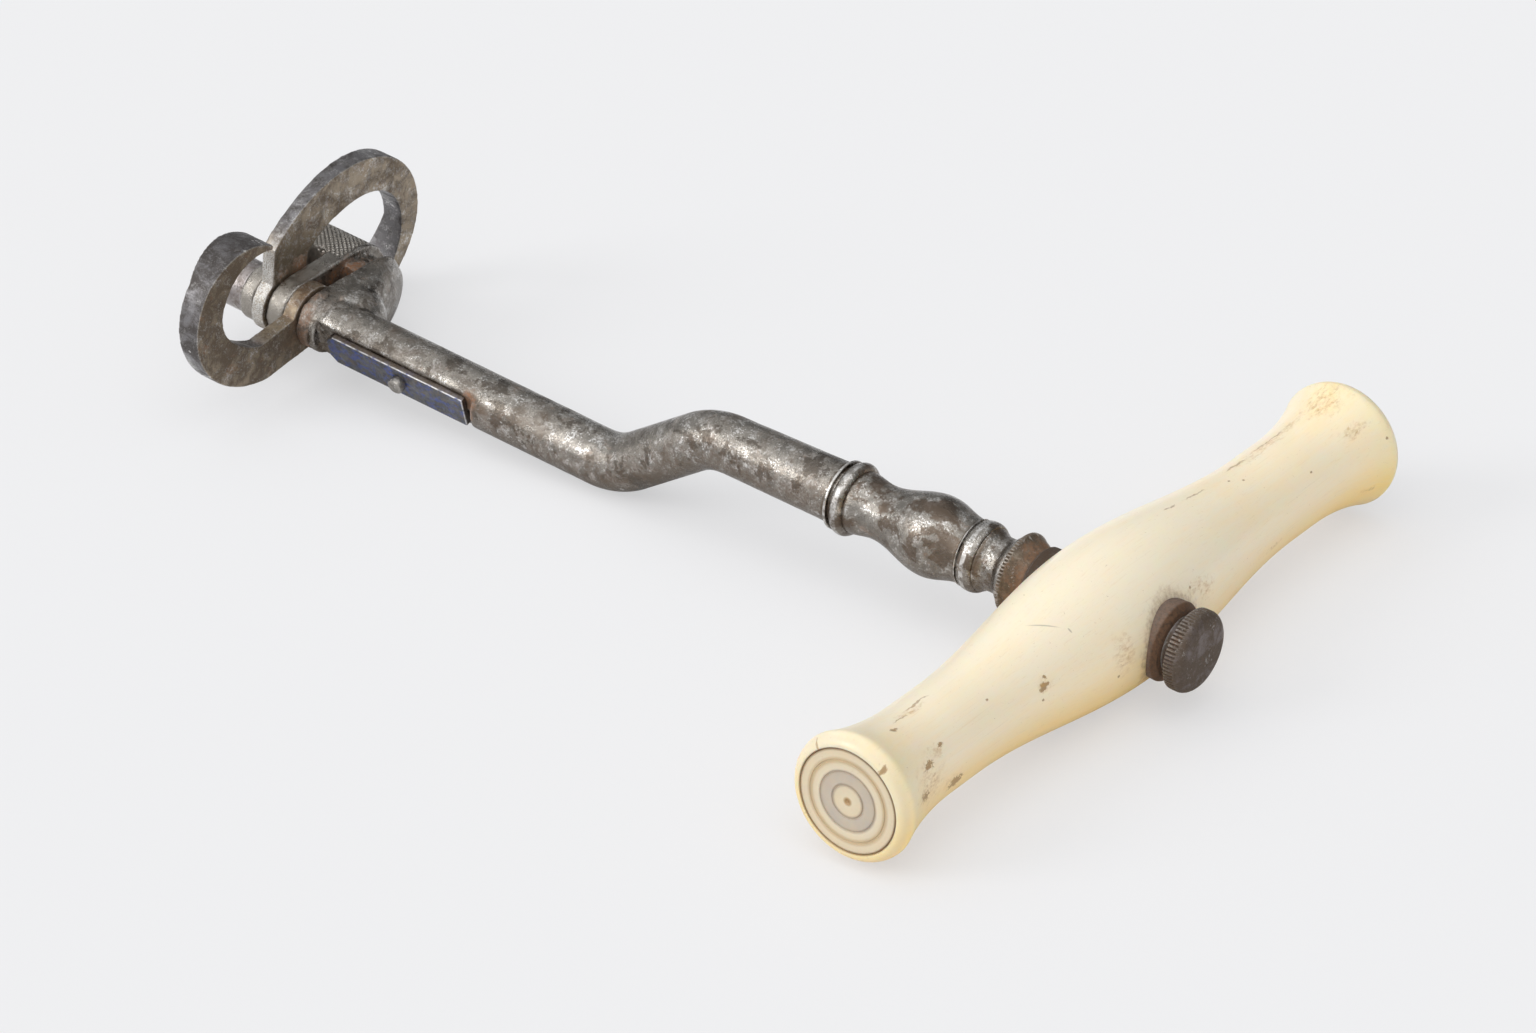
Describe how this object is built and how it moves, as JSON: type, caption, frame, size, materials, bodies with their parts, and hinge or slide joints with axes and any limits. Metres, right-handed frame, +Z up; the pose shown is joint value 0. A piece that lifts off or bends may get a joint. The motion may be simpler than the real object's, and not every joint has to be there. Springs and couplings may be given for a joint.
{
  "type": "dental key",
  "caption": "Antique dental key: ivory cross handle, cranked steel shank with turned baluster, knurled bolster and two swinging claws on a pin.",
  "frame": {"origin": "on the table plane that the belly of the handle and the lower bend rest on, under the middle of the whole key's box", "axes": "+X from the claws to the handle, along the shank; +Y along the cross handle; +Z up as the key lies on a table"},
  "size_m": [0.1441, 0.0994, 0.024],
  "materials": {
    "ivory": "satin",
    "steel": "satin",
    "dark_steel": "satin",
    "blued_steel": "satin"
  },
  "bodies": {
    "root": {"handle": "ivory", "end_plug_near": "ivory", "end_plug_far": "ivory", "seat_washer": "dark_steel", "front_collar": "steel", "shank": "steel", "bolster": "steel"},
    "near_claw_body": {"near_claw": "steel"},
    "far_claw_body": {"far_claw": "steel"},
    "pin_body": {"claw_pin": "dark_steel"},
    "catch_body": {"catch_spring": "blued_steel", "catch_stud": "steel"},
    "nut_body": {"thumb_nut": "dark_steel"}
  },
  "joints": [
    {"name": "near_claw_swing", "type": "hinge", "parent": "root", "child": "near_claw_body", "pos_m": [-0.05753, 0, 0.00821], "axis": [0.9952, 0, -0.0974], "range_deg": [-100, 100]},
    {"name": "far_claw_swing", "type": "hinge", "parent": "root", "child": "far_claw_body", "pos_m": [-0.06226, 0, 0.00867], "axis": [0.9952, 0, -0.0974], "range_deg": [-16, 140]},
    {"name": "claw_pin_draw", "type": "slide", "parent": "root", "child": "pin_body", "axis": [-0.9952, 0, 0.0974], "range_m": [0, 0.026]},
    {"name": "catch_lift", "type": "hinge", "parent": "root", "child": "catch_body", "pos_m": [-0.03213, -0.00207, 0.00497], "axis": [0.0916, -0.342, 0.9352], "range_deg": [0, 6], "stiffness_Nm_per_rad": 0.6},
    {"name": "thumb_nut_turn", "type": "hinge", "parent": "root", "child": "nut_body", "pos_m": [0.0718, 0, 0.00788], "axis": [0.9978, 0, -0.0661], "continuous": true}
  ]
}
